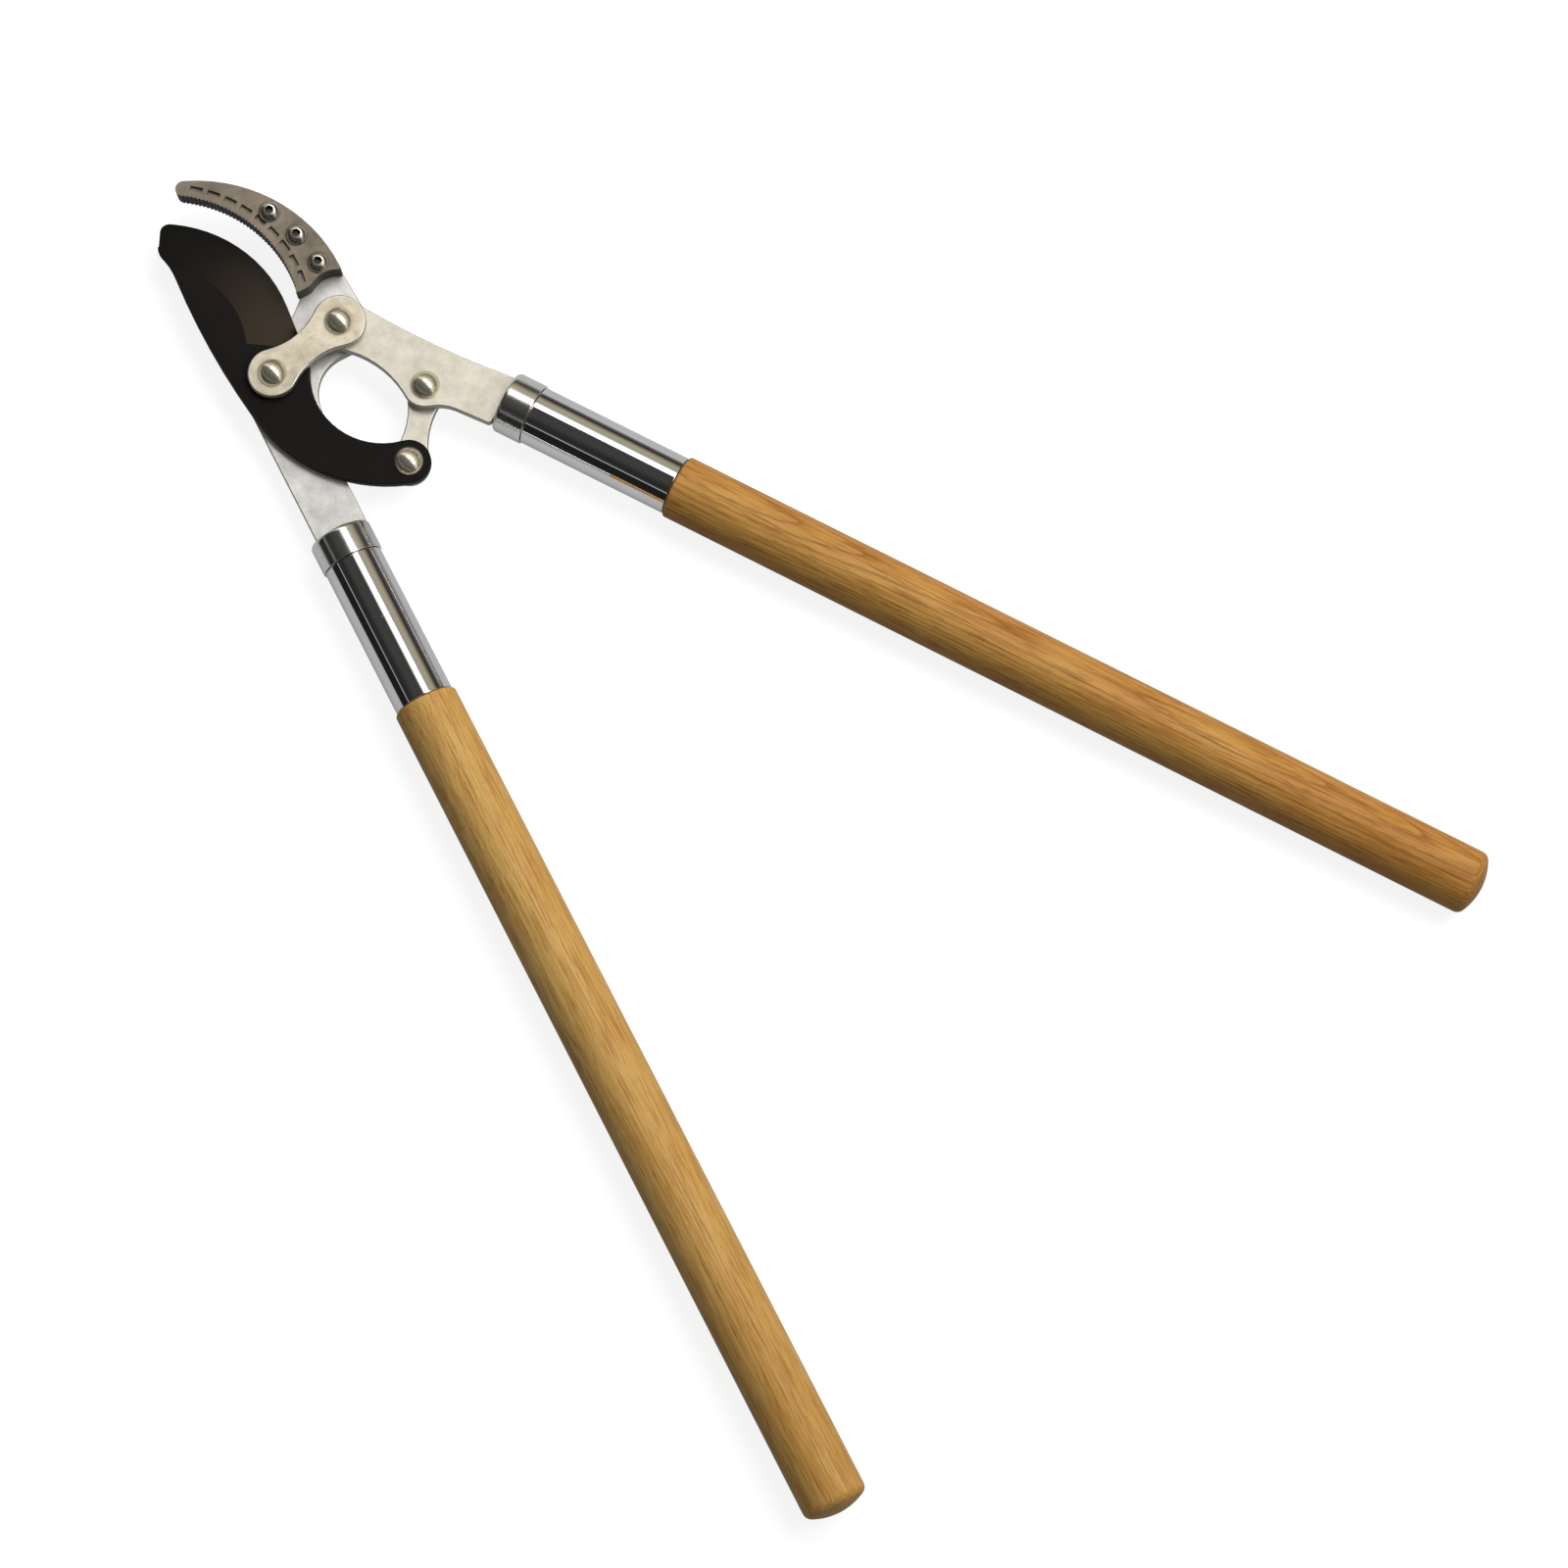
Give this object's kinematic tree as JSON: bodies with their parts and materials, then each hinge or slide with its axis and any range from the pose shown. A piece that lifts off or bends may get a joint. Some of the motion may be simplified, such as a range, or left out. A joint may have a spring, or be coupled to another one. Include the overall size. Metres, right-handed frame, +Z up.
{
  "type": "anvil loppers",
  "caption": "Compound-action anvil loppers: curved black blade, serrated hook jaw, riveted steel plates and long round wooden handles in chromed ferrules.",
  "frame": {"origin": "centre of the bottom of the bounding box, on the surface the loppers lie on", "axes": "+Y along the fixed handle towards the head, +Z up out of the flat side that shows the strap and the rivet heads, +X towards the moving handle"},
  "size_m": [0.4338, 0.7204, 0.0318],
  "materials": {
    "arm_steel": "satin blasted steel plate, warm light grey",
    "strap_steel": "satin blasted steel plate with softened edges",
    "blade_coating": "black non-stick coating over hardened steel",
    "jaw_casting": "satin grey-brown investment casting",
    "rivet_nickel": "polished nickel",
    "washer_steel": "plain bright steel",
    "screw_steel": "polished stainless steel",
    "cap_steel": "satin turned steel",
    "tube_chrome": "mirror chrome",
    "fixed_wood": "clear-lacquered ash, golden",
    "moving_wood": "clear-lacquered ash, golden"
  },
  "bodies": {
    "fixed_handle": {"fixed_arm_plate": "arm_steel", "anvil_jaw": "jaw_casting", "top_strap": "strap_steel", "blade_pivot_rivet": "rivet_nickel", "handle_pivot_rivet": "rivet_nickel", "blade_pivot_washer": "washer_steel", "handle_pivot_washer": "washer_steel", "jaw_screw_1": "screw_steel", "jaw_screw_2": "screw_steel", "jaw_screw_3": "screw_steel", "jaw_nut_1": "washer_steel", "jaw_nut_2": "washer_steel", "jaw_nut_3": "washer_steel", "fixed_ferrule_cap": "cap_steel", "fixed_ferrule_tube": "tube_chrome", "fixed_wood_handle": "fixed_wood"},
    "moving_handle": {"moving_arm_plate": "arm_steel", "arm_link_rivet": "rivet_nickel", "arm_link_washer": "washer_steel", "moving_ferrule_cap": "cap_steel", "moving_ferrule_tube": "tube_chrome", "moving_wood_handle": "moving_wood"},
    "blade": {"blade": "blade_coating", "tail_link_rivet": "rivet_nickel", "tail_link_washer": "washer_steel"},
    "link": {"link_plate": "arm_steel"}
  },
  "joints": [
    {"name": "handle_pivot", "type": "hinge", "parent": "fixed_handle", "child": "moving_handle", "pos_m": [-0.15492, 0.26101, 0.0159], "axis": [0, 0, 1], "range_deg": [-16, 32]},
    {"name": "blade_pivot", "type": "hinge", "parent": "fixed_handle", "child": "blade", "pos_m": [-0.19532, 0.25221, 0.0159], "axis": [0, 0, 1], "range_deg": [-10.6, 21.2]},
    {"name": "link_pivot", "type": "hinge", "parent": "moving_handle", "child": "link", "pos_m": [-0.13172, 0.21371, 0.0159], "axis": [0, 0, 1], "range_deg": [-32.7, 16.4]}
  ],
  "couplings": [
    {"joint": "blade_pivot", "follows": "handle_pivot", "ratio": 0.66},
    {"joint": "link_pivot", "follows": "handle_pivot", "ratio": -1.02}
  ]
}
